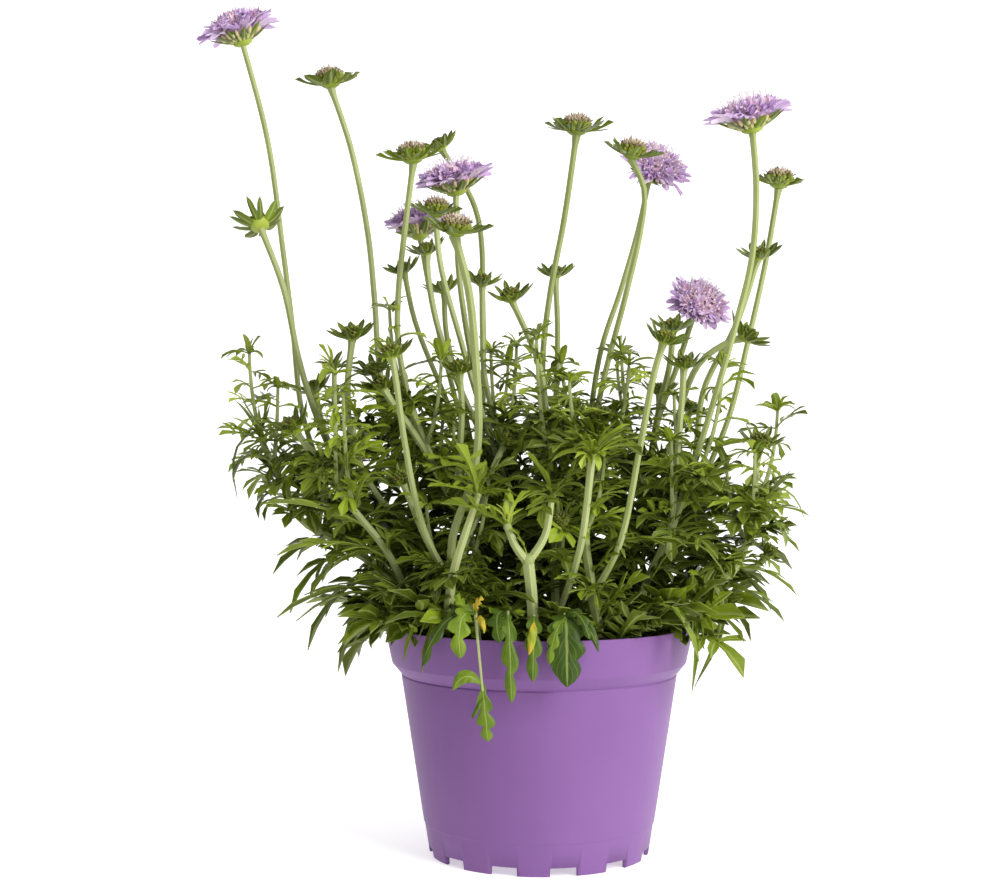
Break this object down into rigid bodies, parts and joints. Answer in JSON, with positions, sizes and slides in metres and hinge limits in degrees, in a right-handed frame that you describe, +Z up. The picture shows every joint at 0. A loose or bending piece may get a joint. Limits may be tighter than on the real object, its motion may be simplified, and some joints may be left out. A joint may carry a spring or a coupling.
{
  "type": "potted butterfly blue pincushion flower",
  "caption": "Flowering scabiosa in a tapered plastic nursery pot: tall stalks with lavender blooms, spent heads and green buds over a mound of cut leaves.",
  "frame": {"origin": "centre of the pot's base, on the surface that it stands on", "axes": "+Z up along the pot's axis; +X to the viewer's right and -Y towards the viewer in the pictured view"},
  "size_m": [0.2593, 0.1565, 0.3563],
  "materials": {
    "pot": "satin moulded plastic, purple",
    "soil": "damp peat compost",
    "foliage": "green stems and leaves with a soft sheen",
    "young_leaf": "young yellow-green leaf with a soft sheen",
    "petals": "matt lavender petals",
    "seed_head": "dry pink-brown florets"
  },
  "bodies": {
    "root": {"pot": "pot", "soil": "soil", "leafy_stem_01": "foliage", "leafy_stem_02": "foliage", "leafy_stem_03": "foliage", "leafy_stem_04": "foliage", "leafy_stem_05": "foliage", "leafy_stem_06": "foliage", "leafy_stem_07": "foliage", "leafy_stem_08": "foliage", "leafy_stem_09": "foliage", "leafy_stem_10": "foliage", "leafy_stem_11": "foliage", "leafy_stem_12": "foliage", "leafy_stem_13": "foliage", "leafy_stem_14": "foliage", "leafy_stem_15": "foliage", "leafy_stem_16": "foliage", "basal_leaf_1": "young_leaf", "basal_leaf_2": "young_leaf", "basal_leaf_3": "young_leaf", "basal_leaf_4": "young_leaf", "basal_leaf_5": "foliage", "basal_leaf_6": "foliage", "basal_leaf_7": "foliage", "basal_leaf_8": "foliage", "bloom_1": "petals", "bloom_2": "petals", "bloom_3": "petals", "bloom_4": "petals", "bloom_5": "petals", "bloom_6": "petals", "seed_disc_1": "seed_head", "seed_disc_2": "seed_head", "seed_disc_3": "seed_head", "seed_disc_4": "seed_head", "seed_disc_5": "seed_head", "seed_disc_6": "seed_head", "seed_disc_7": "seed_head"}
  },
  "joints": []
}
